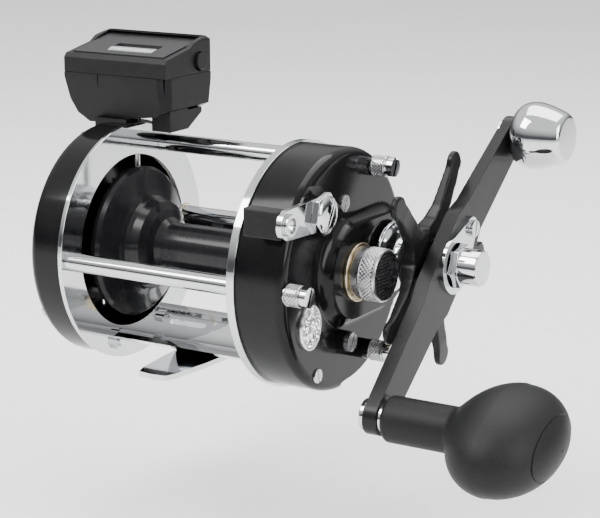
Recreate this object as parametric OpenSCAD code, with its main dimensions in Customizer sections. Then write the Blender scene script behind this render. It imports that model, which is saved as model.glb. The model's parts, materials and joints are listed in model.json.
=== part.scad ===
// Round side-plate trolling reel with a line counter. +X is the handle side, +Y points up the rod,
// away from the angler, and +Z is up. The origin is the middle of the foot's underside, which rests
// in a rod's reel seat. Most modules are drawn about the spool axis and lifted onto it by lift().

/* [Frame] */
// Diameter of the side rings
plate_d = 68; // [66:0.5:70]
// Clear width between the two side rings
ring_gap = 53.6; // [52:0.2:56]
// Height of the spool axis above the rod seat
axis_h = 29.5; // [29:0.1:31]
// Thickness of the left side ring
left_ring_t = 1.3; // [1.1:0.1:1.5]
// Thickness of the right side ring
right_ring_t = 2.3; // [2:0.1:2.6]
// Diameter of the frame pillars
pillar_d = 5.2; // [4.6:0.1:5.6]

/* [Side cups] */
// Depth of the left cup, outside its ring
left_cup_depth = 11; // [10.8:0.1:12]
// Depth of the right cup, outside its ring
right_cup_depth = 14.3; // [14:0.1:15]
// Wall of the cups
cup_wall = 1.3; // [1.2:0.1:1.5]

/* [Spool] */
// Diameter of the spool flanges
flange_d = 43.2; // [42:0.2:44]
// Diameter of the spool arbor
arbor_d = 13.4; // [12:0.2:15]

/* [Gears] */
// Teeth on the main gear
main_teeth = 45; // [45:1:45]
// Teeth on the spool pinion
pinion_teeth = 11; // [11:1:11]
// Distance from the spool axis forward to the handle shaft
shaft_y = 17.2; // [17:0.05:17.4]

/* [Handle] */
// Angle of the handle arm above the forward direction
handle_angle = 42.3; // [0:0.1:90]
// Distance from the handle shaft to the counterweight
weight_reach = 46; // [44:0.5:48]
// Distance from the handle shaft to the grip spindle
grip_reach = 49.2; // [47:0.1:51]
// Thickness of the handle arm
arm_t = 4; // [3.8:0.1:4.2]

/* [Line counter] */
// Length of the counter housing along the spool axis
counter_l = 35.6; // [35:0.1:37]
// Depth of the counter housing, front to back
counter_w = 23; // [22.5:0.1:24]

/* [Hidden] */
$fn = 64;
eps = 0.02;
pressure_angle = 20;

// Places along the spool axis, outwards from the middle of the frame
ring_l = -ring_gap / 2;
ring_r = ring_gap / 2;
cup_l = ring_l - left_ring_t;
face_l = cup_l - left_cup_depth;
cup_r = ring_r + right_ring_t;
face_r = cup_r + right_cup_depth;
ring_rad = plate_d / 2;
cup_rad = ring_rad - 0.7;
flange_rad = flange_d / 2;
arbor_rad = arbor_d / 2;

// Frame pillars: distance from the spool axis and angle above the forward direction
pillar_reach = 30.4;
pillar_angles = [180, 60];
thumb_places = [[-pillar_reach, 0, 0], [pillar_reach * cos(60), pillar_reach * sin(60), 0],
                [5.3, -22.8, 5.1]];

// Foot: pressed from plate, with a prong forward and a prong back
foot_rivet_y = [-9, 14];
foot_rivet_z = -27.6;
foot_t = 1.9;
prong_l = 30.5;
prong_w = 15.5;
saddle_rad = 36;
saddle_y = 2.5;

// Left cup and the raised gear housing on the right one
case_screw_angles = [100, 215, 325];
housing_rad = 16.2;
housing_h = 3.6;
collar_x = face_r + housing_h + 1.2;

// Level wind
wind_y = 26;
wind_z = 1.5;
tube_rad = 3.9;
guide_x = 14;

// Gear train on the handle side
shaft_z = 0.8;
shaft_reach = norm([shaft_y, shaft_z]);
drive_module = 2 * shaft_reach / (main_teeth + pinion_teeth);
main_x = cup_r + 6.4;
main_t = 3;
yoke_posts = [[-1.5, -9.5], [-1.5, 9.5]];
pawl_y = 13;
pawl_z = -13;

// Gear train on the left side
spool_teeth = 12;
idler_teeth = 36;
idler_small_teeth = 15;
worm_teeth = 14;
train_module = 0.7;
wind_module = 0.65;
train_x = -34.4;
wind_gear_x = -31.6;
wind_reach = norm([wind_y, wind_z]);
idler_reach = train_module * (spool_teeth + idler_teeth) / 2;
worm_reach = wind_module * (idler_small_teeth + worm_teeth) / 2;
idler_along = (idler_reach * idler_reach - worm_reach * worm_reach + wind_reach * wind_reach)
    / (2 * wind_reach);
idler_side = sqrt(idler_reach * idler_reach - idler_along * idler_along);
idler_y = (idler_along * wind_y - idler_side * wind_z) / wind_reach;
idler_z = (idler_along * wind_z + idler_side * wind_y) / wind_reach;

// Handle, star and grip
weight_rise = 2.7;
grip_drop = -1.2;
arm_x = 63;
hub_x = 53.8;
star_reach = 31.4;
star_angle = 138;
grip_y = shaft_y - grip_reach * cos(handle_angle);
grip_z = shaft_z - grip_reach * sin(handle_angle);
weight_y = shaft_y + weight_reach * cos(handle_angle);
weight_z = shaft_z + weight_reach * sin(handle_angle);
grip_x = arm_x + arm_t + grip_drop + 1.2;
grip_tilt = 10;
ball_x = 101;
ball_cut = 112.6;

// Clutch lever
lever_y = -18.2;
lever_z = 19.2;
lever_reach = 16;
lever_x = 45.4;

// Line counter, lifted with the spool axis like the rest
counter_x = -51;
counter_y = 0.6;
counter_end = counter_x + counter_l;
counter_top = 52.3;
counter_rise = 4.2;
counter_bottom = 35;
split_z = 47;
wall = 1.4;
wheel_y = 9.9;
wheel_z = 46.6;
wheel_rad = 5.5;
wheel_t = 4.4;
wheels_x = -38.8;
window_x = wheels_x - 0.6;
window_l = 15.6;
window_y = 5.4;
window_w = 6.6;
lay_y = 9.2;
lay_pinion_teeth = 8;
units_gear_teeth = 20;
lay_z = wheel_z - sqrt(pow((lay_pinion_teeth + units_gear_teeth) / 4, 2) - pow(wheel_y - lay_y, 2));
drive_x = -29.3;
drive_y = 5.4;

// Lifts a shape drawn about the spool axis to its height above the rod seat
module lift() translate([0, 0, axis_h]) children();

// Turns a shape drawn in local X and Y, along local Z, to lie in Y and Z, along X
module on_x(x = 0, y = 0, z = 0) translate([x, y, z]) rotate([90, 0, 90]) children();

// A rod or disc along X
module rod(x, len, r, y = 0, z = 0) on_x(x, y, z) cylinder(h = len, r = r);

// A washer or tube along X
module tube(x, len, r, bore, y = 0, z = 0)
    difference() {
        rod(x, len, r, y, z);
        rod(x - eps, len + 2 * eps, bore, y, z);
    }

// A turned shape about X: points are [radius, place along X]
module turned(points, y = 0, z = 0) on_x(0, y, z) rotate_extrude() polygon(points);

// Involute function, in degrees
function involute(a) = tan(a) * 180 / PI - a;

// Half of a tooth's angle at radius r, for a gear of pitch radius p
function half_tooth(r, p, n, thin) =
    let (base = p * cos(pressure_angle),
         a = r > base ? acos(base / r) : 0)
    90 / n * thin + involute(pressure_angle) - involute(a);

// Outline of a spur gear with the given module and number of teeth, one tooth on local +X
module gear_outline(m, n, thin = 0.86) {
    p = m * n / 2;
    tip = p + 0.9 * m;
    root = p - 1.15 * m;
    radii = [root, p - 0.45 * m, p, p + 0.5 * m, tip];
    polygon([
        for (i = [0:n - 1], side = [-1, 1], k = [0:4])
            let (r = side < 0 ? radii[k] : radii[4 - k],
                 a = 360 / n * i + side * half_tooth(r, p, n, thin))
            [r * cos(a), r * sin(a)]
    ]);
}

// A spur gear along X, turned so that one tooth points along angle a
module gear(x, len, m, n, a, bore, y = 0, z = 0)
    difference() {
        on_x(x, y, z) rotate(a) linear_extrude(len) gear_outline(m, n);
        rod(x - eps, len + 2 * eps, bore, y, z);
    }

// A slotted cheese-head screw head with its shank, along +X
module slotted_screw(x, y, z, head_r, head_t, shank_r, shank_l, slot_angle = 40)
    difference() {
        union() {
            rod(x, head_t, head_r, y, z);
            rod(x - shank_l, shank_l + eps, shank_r, y, z);
        }
        on_x(x + head_t * 0.55, y, z) rotate(slot_angle)
            translate([-head_r - 1, -head_r * 0.14, 0]) cube([2 * head_r + 2, head_r * 0.28, head_t]);
    }

// Frame ----------------------------------------------------------------------------------------

module ring_blank(x, t)
    difference() {
        rod(x, t, ring_rad);
        rod(x - 1, t + 2, 24.8);
        rod(x - 1, t + 2, tube_rad + 0.6, wind_y, wind_z);
        for (a = pillar_angles)
            rod(x - 1, t + 2, 1.6, pillar_reach * cos(a), pillar_reach * sin(a));
        for (y = foot_rivet_y) rod(x - 1, t + 2, 1.05, y, foot_rivet_z);
    }

module left_frame_ring() color("silver") lift() ring_blank(cup_l, left_ring_t);

module right_frame_ring() color("silver") lift()
    difference() {
        union() {
            ring_blank(ring_r, right_ring_t);
            intersection() {
                rod(ring_r, right_ring_t, 26);
                rod(ring_r, right_ring_t, 2.6, thumb_places[2][0], thumb_places[2][1] - 1.4);
            }
        }
        rod(ring_r - 1, right_ring_t + 2, 1, thumb_places[2][0], thumb_places[2][1]);
        rod(ring_r - 1, right_ring_t + 2, flange_rad + 0.15);
    }

module frame_pillars() color("gainsboro") lift()
    for (a = pillar_angles) difference() {
        union() {
            rod(ring_l, ring_gap, pillar_d / 2, pillar_reach * cos(a), pillar_reach * sin(a));
            rod(cup_l, left_ring_t + eps, 1.55, pillar_reach * cos(a), pillar_reach * sin(a));
        }
        rod(ring_r - 8, 9, 1.05, pillar_reach * cos(a), pillar_reach * sin(a));
    }

// Foot: a pressed plate that spans the rings, with one prong forward and one back
module foot_section() {
    difference() {
        translate([saddle_y, saddle_rad - axis_h]) circle(r = saddle_rad, $fn = 128);
        translate([saddle_y, saddle_rad - axis_h]) circle(r = saddle_rad - foot_t, $fn = 128);
        translate([-60, -axis_h + 5.2]) square([120, 90]);
    }
}

module prong_outline() {
    tip = prong_w / 2 - 2.2;
    root = prong_w / 2;
    polygon([[-root, 0], [-root + 0.6, 14], [-tip, prong_l - 4], [-tip + 1.2, prong_l - 0.6],
             [0, prong_l], [tip - 1.2, prong_l - 0.6], [tip, prong_l - 4], [root - 0.6, 14], [root, 0]]);
}

module reel_foot() color("silver") lift()
    difference() {
        union() {
            on_x(ring_l) linear_extrude(ring_gap) foot_section();
            translate([0, 0, -axis_h]) for (s = [0, 180]) rotate(s)
                linear_extrude(1.4) prong_outline();
            for (y = foot_rivet_y, s = [-1, 1])
                rod(s > 0 ? ring_r - 1.4 : ring_l, 1.4, 3.1, y, foot_rivet_z + 0.3);
        }
        for (y = foot_rivet_y, s = [-1, 1])
            rod(s > 0 ? ring_r - 3 : ring_l - 1, 4, 1.02, y, foot_rivet_z);
        for (y = foot_rivet_y, s = [-1, 1])
            rod(s > 0 ? ring_r - 2.6 : ring_l + 1.4, 1.2, 2.2, y, foot_rivet_z);
        for (s = [-1, 1]) translate([s * 16.5, 11.5, -axis_h - 1])
            linear_extrude(8) for (e = [-1, 1]) union() {
                translate([e * 5, 0]) circle(r = 1.4);
                translate([-5, -1.4]) square([10, 2.8]);
            }
        translate([9, -6, -axis_h - 1]) cylinder(h = 8, r = 0.8);
        rod(ring_l - 1, ring_gap + 2, flange_rad + 0.8);
    }

module foot_rivets() color("silver") lift()
    for (y = foot_rivet_y, s = [-1, 1]) {
        x = s > 0 ? ring_r - 1.4 : cup_l;
        t = s > 0 ? 1.4 + right_ring_t : 1.4 + left_ring_t;
        rod(x, t, 1, y, foot_rivet_z);
        rod(s > 0 ? x - 0.8 : x + t, 0.8, 1.9, y, foot_rivet_z);
    }

// Left side ------------------------------------------------------------------------------------

// Outer form of a cup: a drum with a rounded outer edge
module cup_drum(x, depth, round_r, r = cup_rad)
    turned(concat([[0, x], [r, x]],
        [for (k = [0:6]) let (a = 15 * k)
            [r - round_r + round_r * cos(a), x + depth + sign(depth) * (round_r * sin(a) - round_r)]],
        [[0, x + depth]]));

module left_side_cup() color([0.08, 0.08, 0.09]) lift()
    difference() {
        union() {
            difference() {
                cup_drum(cup_l, -left_cup_depth, 3);
                rod(face_l + 1.5, left_cup_depth, cup_rad - cup_wall);
            }
            rod(face_l + 1, 3.4, 7);
            rod(face_l + 1, 3.2, 3, idler_y, idler_z);
            translate([face_l + 1, drive_y - 2, -10]) cube([10.2, 4, 2.4]);
            for (a = case_screw_angles)
                rod(face_l + 1, left_cup_depth - 1.1, 2.2, 29.6 * cos(a), 29.6 * sin(a));
            intersection() {
                translate([face_l, -1, 25]) cube([left_cup_depth, 22, 12]);
                rod(face_l, left_cup_depth, cup_rad + 1.6);
            }
        }
        rod(face_l + 1.4, 5, 5);
        rod(face_l + 1.4, 6, 0.95, idler_y, idler_z);
        translate([drive_x, drive_y, -9.8]) cylinder(h = 8, r = 1.06);
        translate([drive_x, drive_y, 20]) cylinder(h = 20, r = 1.3);
        for (a = case_screw_angles)
            rod(face_l - 1, left_cup_depth + 2, 1.1, 29.6 * cos(a), 29.6 * sin(a));
        translate([face_l - 1, -1.3, -21]) cube([4, 2.6, 12]);
    }

module case_screws() color("dimgray") lift()
    for (a = case_screw_angles) mirror([1, 0, 0])
        slotted_screw(-face_l + eps, 29.6 * cos(a), 29.6 * sin(a), 2, 1.3, 1.05, left_cup_depth - 0.6);

// Right side -----------------------------------------------------------------------------------

// Raised gear housing: the outline of two round lobes, with a filleted edge
function housing_edge() = concat([[0, 0], [housing_rad, 0]],
    [for (k = [1:5]) let (a = 18 * k)
        [housing_rad - 3.4 * sin(a), housing_h - housing_h * cos(a)]],
    [[0, housing_h]]);

module housing_lobe(y) on_x(face_r - eps, y, 0) rotate_extrude($fn = 96) polygon(housing_edge());

module gear_housing() {
    housing_lobe(0);
    housing_lobe(shaft_y);
    translate([face_r - eps, 0, 0]) rotate([-90, 0, 0]) mirror([0, 1, 0]) linear_extrude(shaft_y)
        union() for (s = [0, 1]) mirror([0, s]) polygon([for (p = housing_edge()) [p[1], p[0]]]);
}

module right_side_cup() color([0.07, 0.07, 0.08]) lift()
    difference() {
        union() {
            difference() {
                cup_drum(cup_r, right_cup_depth, 2.6);
                rod(cup_r - 1, right_cup_depth - 0.4, cup_rad - cup_wall);
            }
            gear_housing();
            rod(face_r - 4, 5, 6);
            intersection() {
                cup_drum(cup_r + 0.02, right_cup_depth - 0.02, 2.6);
                for (p = thumb_places)
                    rod(cup_r + 0.02, right_cup_depth - 1, p[2] > 0 ? 2.2 : 3.2, p[0], p[1]);
            }
            rod(face_r - eps, 5.1, 2.75, thumb_places[2][0], thumb_places[2][1]);
            rod(face_r - eps, 2.6, 2.9, -3.2, -18.8);
            rod(face_r - 2.6, 2, 3.4, lever_y, lever_z);
            rod(face_r - eps, 0.8, 7.2, lever_y, lever_z);
        }
        rod(face_r - 4.2, 10, 5);
        rod(face_r - 5, 12, 4.98, shaft_y, shaft_z);
        for (p = thumb_places) rod(cup_r - 1, right_cup_depth + 8, 1.25, p[0], p[1]);
        rod(face_r - 5, 8, 1.3, lever_y, lever_z);
        rod(face_r - 4, 8, 1.1, -3.2, -18.8);
        rod(face_r - 2, 4, 0.86, -1.4, 18.7);
        rod(face_r - 2, 4, 0.86, -15.4, -25.7);
        rod(cup_r - 1, 3.2, 4.7, wind_y, wind_z);
        difference() {
            translate([face_r - 3, -2, -36]) cube([4, 40, 20]);
            rod(face_r - 4, 6, 30.9);
        }
    }

module thumb_screws() color("lightgray") lift()
    for (p = thumb_places) difference() {
        union() {
            rod(face_r + p[2] + eps, 4.4, 2.75, p[0], p[1]);
            rod(face_r + p[2] + 4.4, 0.5, 2.3, p[0], p[1]);
            rod(face_r + p[2] + 4.9, 1.7, 2.65, p[0], p[1]);
            rod(ring_r - (p[2] > 0 ? 0 : 7.5), face_r - ring_r + p[2] + (p[2] > 0 ? 4 : 11.5), 0.98,
                p[0], p[1]);
        }
        on_x(face_r + p[2] + 5.6, p[0], p[1]) rotate(65) translate([-4, -0.45, 0]) cube([8, 0.9, 2]);
    }

module plate_screws() color("gold") lift() {
    slotted_screw(face_r + 2.6 + eps, -3.2, -18.8, 2.6, 1.3, 1.05, 5, 55);
    slotted_screw(face_r + eps, -1.4, 18.7, 2.3, 0.5, 0.8, 0.9, 70);
    slotted_screw(face_r + eps, -15.4, -25.7, 1.9, 0.5, 0.8, 0.9, 100);
}

// Plain oval medallion with a raised field
module badge() color("silver") lift() translate([face_r + eps, -20, -11.2])
    rotate([90, 0, 90]) {
        linear_extrude(1.1) scale([1, 1.24]) circle(r = 5, $fn = 64);
        translate([0, 0, 1]) linear_extrude(0.5) scale([1, 1.27]) circle(r = 4.1, $fn = 64);
    }

module cap_washer() color("goldenrod") lift() tube(face_r + housing_h, 0.9, 8, 5.6);

module ball_bearings() color("lightsteelblue") lift() for (x = [face_l + 1.5, face_r - 0.2]) {
    tube(x, 3, 5 - 0.02, 4.1);
    tube(x, 3, 3.1, x < 0 ? 2.5 : 1.5);
    for (k = [0:7]) on_x(x + 1.5) rotate(45 * k) translate([3.6, 0, 0]) sphere(r = 0.46, $fn = 16);
}

// Bridge plate: closes the gear case, holds the brake drum and carries the shaft ends and posts
module bridge_plate() color("darkgray") lift()
    difference() {
        union() {
            rod(cup_r + 0.2, 1.2, 31.6);
            rod(cup_r + 0.2, 3, 13);
            for (p = yoke_posts) rod(cup_r + 0.2, 12.5, 1, p[0], p[1]);
            rod(cup_r + 0.2, 5.4, 1, pawl_y, pawl_z);
        }
        rod(cup_r - 1, 5, 11.8);
        rod(cup_r - 1, 5, 2.25, shaft_y, shaft_z);
        rod(cup_r - 1, 5, 4.45, wind_y, wind_z);
        for (p = thumb_places) rod(cup_r - 1, 4, p[2] > 0 ? 2.6 : 3.9, p[0], p[1]);
    }

// Level wind -----------------------------------------------------------------------------------

module level_wind_tube() color("silver") lift()
    difference() {
        tube(ring_l - 2.1, ring_gap + 5.6, tube_rad, 3.3, wind_y, wind_z);
        translate([-23, wind_y - 1.5, wind_z - 6]) cube([46, 3, 4]);
    }

module level_wind_bushes() color("goldenrod") lift() {
    tube(ring_l - 2.1, 2, 4.4, tube_rad, wind_y, wind_z);
    tube(ring_r + 0.1, 3.3, 4.4, tube_rad, wind_y, wind_z);
}

// Traverse screw: a double-threaded rod, its crossing grooves drawn as rings
module worm_shaft() color("silver") lift()
    difference() {
        union() {
            rod(ring_l - 1.8, ring_gap + 4.4, 2.9, wind_y, wind_z);
            rod(wind_gear_x - 0.2, 4, 1.5, wind_y, wind_z);
        }
        for (k = [-11:11]) tube(2 * k - 0.5, 1, 3.5, 2.3, wind_y, wind_z);
    }

module worm_gear() color("ivory") lift()
    gear(wind_gear_x, 1.5, wind_module, worm_teeth,
         atan2(idler_z - wind_z, idler_y - wind_y) + 180 / worm_teeth, 1.5, wind_y, wind_z);

module idler_gear() color("ivory") lift() {
    to_spool = atan2(-idler_z, -idler_y);
    to_worm = atan2(wind_z - idler_z, wind_y - idler_y);
    difference() {
        union() {
            gear(train_x, 2, train_module, idler_teeth, to_spool + 180 / idler_teeth, 0.5, idler_y, idler_z);
            rod(train_x + 2 - eps, wind_gear_x - train_x - 2 + 2 * eps, 3.6, idler_y, idler_z);
            gear(wind_gear_x, 1.5, wind_module, idler_small_teeth, to_worm, 0.5, idler_y, idler_z);
        }
        rod(train_x - 1, 8, 0.95, idler_y, idler_z);
    }
}

// Fixed axles: the idler's in the left cup, and the number wheels' in the line counter
module gear_axles() color("silver") lift() {
    rod(face_l + 1.6, wind_gear_x + 2 - face_l - 1.6, 0.9, idler_y, idler_z);
    rod(counter_x + 7, counter_l - 9, 0.9, wheel_y, wheel_z);
}

module line_guide() color("silver") lift() {
    difference() {
        union() {
            rod(guide_x - 4.5, 9, 6, wind_y, wind_z);
            translate([guide_x, wind_y, wind_z - 9.5]) cylinder(h = 6, r = 2.9);
            for (s = [-1, 1]) translate([guide_x + s * 2.6, wind_y + 2, wind_z + 4])
                cylinder(h = 13.5, r = 0.9, $fn = 24);
            translate([guide_x, wind_y + 2, wind_z + 17.5]) rotate([90, 0, 0])
                intersection() {
                    rotate_extrude($fn = 48) translate([2.6, 0]) circle(r = 0.9, $fn = 24);
                    translate([-5, 0, -2]) cube([10, 5, 4]);
                }
        }
        rod(guide_x - 5, 10, 4.2, wind_y, wind_z);
        translate([guide_x, wind_y, wind_z - 10]) cylinder(h = 8, r = 1.5);
    }
}

module guide_pawl() color("goldenrod") lift() translate([guide_x, wind_y, wind_z]) {
    translate([0, 0, -8.6]) cylinder(h = 5.4, r = 1.45);
    translate([0, 0, -10.3]) cylinder(h = 0.8, r = 2.9);
    translate([0, 0, -9.6]) cylinder(h = 1.1, r = 1.45);
}

// Spool ----------------------------------------------------------------------------------------

function spool_half(s) = [
    [5.2, s * (ring_r - 0.2)], [11, s * (ring_r - 0.2)], [12, s * (ring_r - 1.5)],
    [flange_rad - 2.2, s * (ring_r - 1.5)], [flange_rad - 1.4, s * (ring_r - 0.2)],
    [flange_rad, s * (ring_r - 0.8)], [flange_rad, s * (ring_r - 2)],
    [flange_rad - 0.9, s * (ring_r - 2.9)], [15, s * (ring_r - 5.6)], [13.6, s * (ring_r - 6.4)],
    [12.9, s * (ring_r - 7.6)], [12.2, s * (ring_r - 10)], [10, s * (ring_r - 11.4)],
    [8, s * (ring_r - 12.4)], [arbor_rad, s * (ring_r - 14)]
];

module spool() color([0.06, 0.06, 0.07]) lift()
    difference() {
        turned(concat([[0, ring_r - 0.2]], spool_half(1), [for (k = [14:-1:0]) spool_half(-1)[k]],
                      [[0, -(ring_r - 0.2)]]));
        rod(-ring_r - 1, ring_gap + 2, 2.5);
    }

module spool_shaft() color("silver") lift() {
    rod(face_l + 1.6, 29 - face_l - 1.6, 2.46);
    rod(29 - eps, face_r + 4 - 29, 1.46);
    translate([31.9, 0, -3.2]) cylinder(h = 6.4, r = 0.55);
}

module spool_gear() color("ivory") lift() {
    gear(train_x, 2, train_module, spool_teeth, atan2(idler_z, idler_y), 2.5);
    difference() {
        rod(train_x + 2 - eps, 4.2, 3.8);
        rod(train_x + 1, 7, 2.5);
        for (k = [0:2]) tube(train_x + 2.9 + 1.1 * k, 0.5, 4.2, 3.2);
    }
}

module click_wheel() color("silver") lift()
    difference() {
        on_x(ring_l - 0.7) linear_extrude(0.6) gear_outline(0.9, 16, 0.7);
        rod(ring_l - 2, 4, 2.5);
    }

module brake_blocks() color("saddlebrown") lift()
    difference() {
        union() {
            rod(cup_r + 0.3, 1.3, 4.6);
            for (s = [-1, 1]) {
                translate([cup_r + 0.5, s > 0 ? 3 : -10.2, -0.7]) cube([0.9, 7.2, 1.4]);
                translate([cup_r + 0.3, s > 0 ? 7.4 : -11.2, -2.2]) cube([1.4, 3.8, 4.4]);
            }
        }
        rod(cup_r - 1, 4, 1.46);
    }

// Handle-side drive ----------------------------------------------------------------------------

module pinion() color("goldenrod") lift()
    difference() {
        union() {
            rod(cup_r + 2.3, 1, 3.6);
            rod(cup_r + 3.3 - eps, 1.7 + 2 * eps, 2.5);
            on_x(cup_r + 5) rotate(atan2(shaft_z, shaft_y) + 180 / pinion_teeth)
                linear_extrude(5.7) gear_outline(drive_module, pinion_teeth);
        }
        rod(cup_r, 20, 1.52);
        translate([cup_r + 2, -1, -5]) cube([1.5, 2, 10]);
    }

module pinion_yoke() color("silver") lift()
    difference() {
        on_x(cup_r + 3.45) linear_extrude(1.4) union() {
            translate([-4.2, -11.5]) square([5, 27.5]);
            translate([-4.2, -4]) square([6, 8]);
        }
        rod(cup_r + 2, 4, 2.8);
        translate([cup_r + 2, 0, -2.8]) cube([4, 6, 5.6]);
        for (p = yoke_posts) rod(cup_r + 2, 4, 1.06, p[0], p[1]);
    }

module main_gear() color("goldenrod") lift()
    gear(main_x, main_t, drive_module, main_teeth, atan2(-shaft_z, -shaft_y), 3, shaft_y, shaft_z);

module drag_washers() color("darkgoldenrod") lift()
    for (k = [0:2]) tube(main_x + main_t + 0.05 + 0.9 * k, 0.8, k == 1 ? 9 : 9.4, 3, shaft_y, shaft_z);

module drive_shaft() color("silver") lift() {
    rod(cup_r + 0.4, 4, 2.2, shaft_y, shaft_z);
    rod(cup_r + 2.6, 69.6 - cup_r - 2.6, 3, shaft_y, shaft_z);
}

module ratchet_wheel() color("silver") lift()
    difference() {
        on_x(cup_r + 4, shaft_y, shaft_z) linear_extrude(1.5)
            polygon([for (i = [0:11], k = [0, 1])
                let (a = 30 * i + (k == 0 ? 0 : 24), r = k == 0 ? 5.6 : 7) [r * cos(a), r * sin(a)]]);
        rod(cup_r + 3, 4, 3, shaft_y, shaft_z);
    }

module reverse_pawl() color("silver") lift()
    difference() {
        on_x(cup_r + 3.9, pawl_y, pawl_z) linear_extrude(1.5) union() {
            circle(r = 2.4);
            rotate(70) translate([0, -1.2]) square([6, 2.4]);
        }
        rod(cup_r + 3, 4, 1.05, pawl_y, pawl_z);
    }

module thrust_collar() color("gainsboro") lift()
    difference() {
        turned([[0, main_x + main_t + 2.8], [4.9, main_x + main_t + 2.8], [4.9, collar_x],
                [9.6, collar_x], [9.9, collar_x + 0.3], [9.8, collar_x + 0.9], [8.4, collar_x + 2],
                [6.4, collar_x + 2.4], [5.6, collar_x + 3.2], [5.4, collar_x + 5.2], [0, collar_x + 5.2]],
               shaft_y, shaft_z);
        rod(main_x, 30, 3, shaft_y, shaft_z);
    }

// One arm of the star, along local X: it leans outwards and widens at its root and its tip
module star_arm()
    intersection() {
        linear_extrude(10) union() {
            polygon([[3, 6], [8.6, 5.4], [11.6, 3.4], [15, 2.7], [star_reach - 5, 2.6],
                     [star_reach - 3.1, 3], [star_reach - 3.1, -3], [star_reach - 5, -2.6],
                     [15, -2.7], [11.6, -3.4], [8.6, -5.4], [3, -6]]);
            translate([star_reach - 3.1, 0]) circle(r = 3.1);
        }
        rotate([90, 0, 0]) translate([0, 0, -8]) linear_extrude(16)
            polygon([[3, 2], [9, 2.4], [16, 4.4], [star_reach - 6, 5.9], [star_reach, 6.4],
                     [star_reach + 0.2, 7.9], [star_reach - 7, 8.1], [16, 7.6], [9, 6.8], [3, 6.4]]);
    }

// Star drag: a domed hub with arms that lean outwards
module star_drag() color([0.1, 0.1, 0.1]) lift()
    difference() {
        union() {
            turned([[0, hub_x], [7.6, hub_x], [8.6, hub_x + 0.6], [9.2, hub_x + 1.6],
                    [9.8, hub_x + 3.6], [9.6, hub_x + 5.8], [7.4, hub_x + 7.2], [0, hub_x + 7.2]],
                   shaft_y, shaft_z);
            for (k = [0:4]) on_x(hub_x, shaft_y, shaft_z) rotate(star_angle - 72 * k) star_arm();
        }
        rod(hub_x - 1, 12, 3.06, shaft_y, shaft_z);
        rod(hub_x + 3, 8, 5.9, shaft_y, shaft_z);
    }

// Handle ---------------------------------------------------------------------------------------

module arm_outline() {
    tip = 5;
    waist = 6.2;
    hub = 8;
    polygon([
        [weight_reach, -tip], [17, -waist], [11, -hub], [-11, -hub], [-17, -waist], [-grip_reach, -tip],
        [-grip_reach, tip], [-17, waist], [-11, hub], [11, hub], [17, waist], [weight_reach, tip]
    ]);
    translate([weight_reach, 0]) circle(r = tip);
    translate([-grip_reach, 0]) circle(r = tip);
}

// Edge view of the arm: level at the hub, cranked out to the counterweight and in to the grip
module arm_profile()
    polygon([[-grip_reach - 6, grip_drop], [-11, 0], [14, 0], [weight_reach + 6, weight_rise + 0.8],
             [weight_reach + 6, weight_rise + arm_t], [16.6, arm_t], [-11, arm_t],
             [-grip_reach - 6, arm_t + grip_drop]]);

module handle_arm() color([0.12, 0.12, 0.12]) lift()
    difference() {
        union() {
            on_x(arm_x, shaft_y, shaft_z) rotate(handle_angle) intersection() {
                translate([0, 0, -4]) linear_extrude(12) arm_outline();
                rotate([90, 0, 0]) translate([0, 0, -12]) linear_extrude(24) arm_profile();
            }
            rod(arm_x - 5.6, 5.6 + eps, 5.5, shaft_y, shaft_z);
        }
        rod(hub_x + 2, 20, 3, shaft_y, shaft_z);
        rod(arm_x - 3, 10, 2.05, grip_y, grip_z);
        rod(arm_x - 1, 12, 2.5, weight_y, weight_z);
        rod(arm_x - 4, 4 + grip_drop, 5.6, grip_y, grip_z);
        rod(grip_x - 1.2, 4, 5.6, grip_y, grip_z);
        rod(arm_x - 1, weight_rise + 1.4, 5.6, weight_y, weight_z);
        rod(arm_x + arm_t + weight_rise - 0.3, 4, 7, weight_y, weight_z);
        on_x(arm_x + 1, shaft_y, shaft_z) rotate(handle_angle) translate([12.6, 0, 0])
            cylinder(h = 6, r = 1.06);
    }

module nut_retainer() color("silver") lift()
    difference() {
        on_x(arm_x + arm_t, shaft_y, shaft_z) rotate(handle_angle) linear_extrude(1) union() {
            circle(r = 8);
            translate([12.6, 0]) circle(r = 3.2);
            polygon([[2.4, 7.5], [13.2, 3], [13.2, -3], [2.4, -7.5]]);
        }
        rod(arm_x, 8, 6.2, shaft_y, shaft_z);
        on_x(arm_x + 1, shaft_y, shaft_z) rotate(handle_angle) translate([12.6, 0, 0])
            cylinder(h = 6, r = 1.06);
    }

module retainer_screw() color("silver") lift()
    slotted_screw(arm_x + arm_t + 1, shaft_y + 12.6 * cos(handle_angle),
                  shaft_z + 12.6 * sin(handle_angle), 2.3, 1.2, 1, 3, 80);

module handle_nut() color("gainsboro") lift()
    difference() {
        union() {
            on_x(arm_x + arm_t, shaft_y, shaft_z) rotate(10) cylinder(h = 3.4, r = 6.1, $fn = 6);
            turned([[0, arm_x + arm_t], [5, arm_x + arm_t], [5, arm_x + arm_t + 8.3],
                    [4.7, arm_x + arm_t + 8.8], [0, arm_x + arm_t + 8.9]], shaft_y, shaft_z);
        }
        rod(arm_x, 6.8, 3, shaft_y, shaft_z);
    }

module counterweight_knob() color("gainsboro") lift() {
    base = arm_x + arm_t + weight_rise - 0.3;
    turned([[0, base], [5.4, base], [7.6, base + 1], [8.9, base + 2.6], [9.5, base + 4.6],
            [9.6, base + 6.4], [9.2, base + 9], [8.3, base + 12], [7.4, base + 14.2],
            [6.8, base + 15], [6.1, base + 15.4], [0, base + 15.5]], weight_y, weight_z);
    rod(base - 3.6, 3.6 + eps, 2.5, weight_y, weight_z);
    rod(arm_x + weight_rise - 1, 1.4, 3.8, weight_y, weight_z);
}

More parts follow.
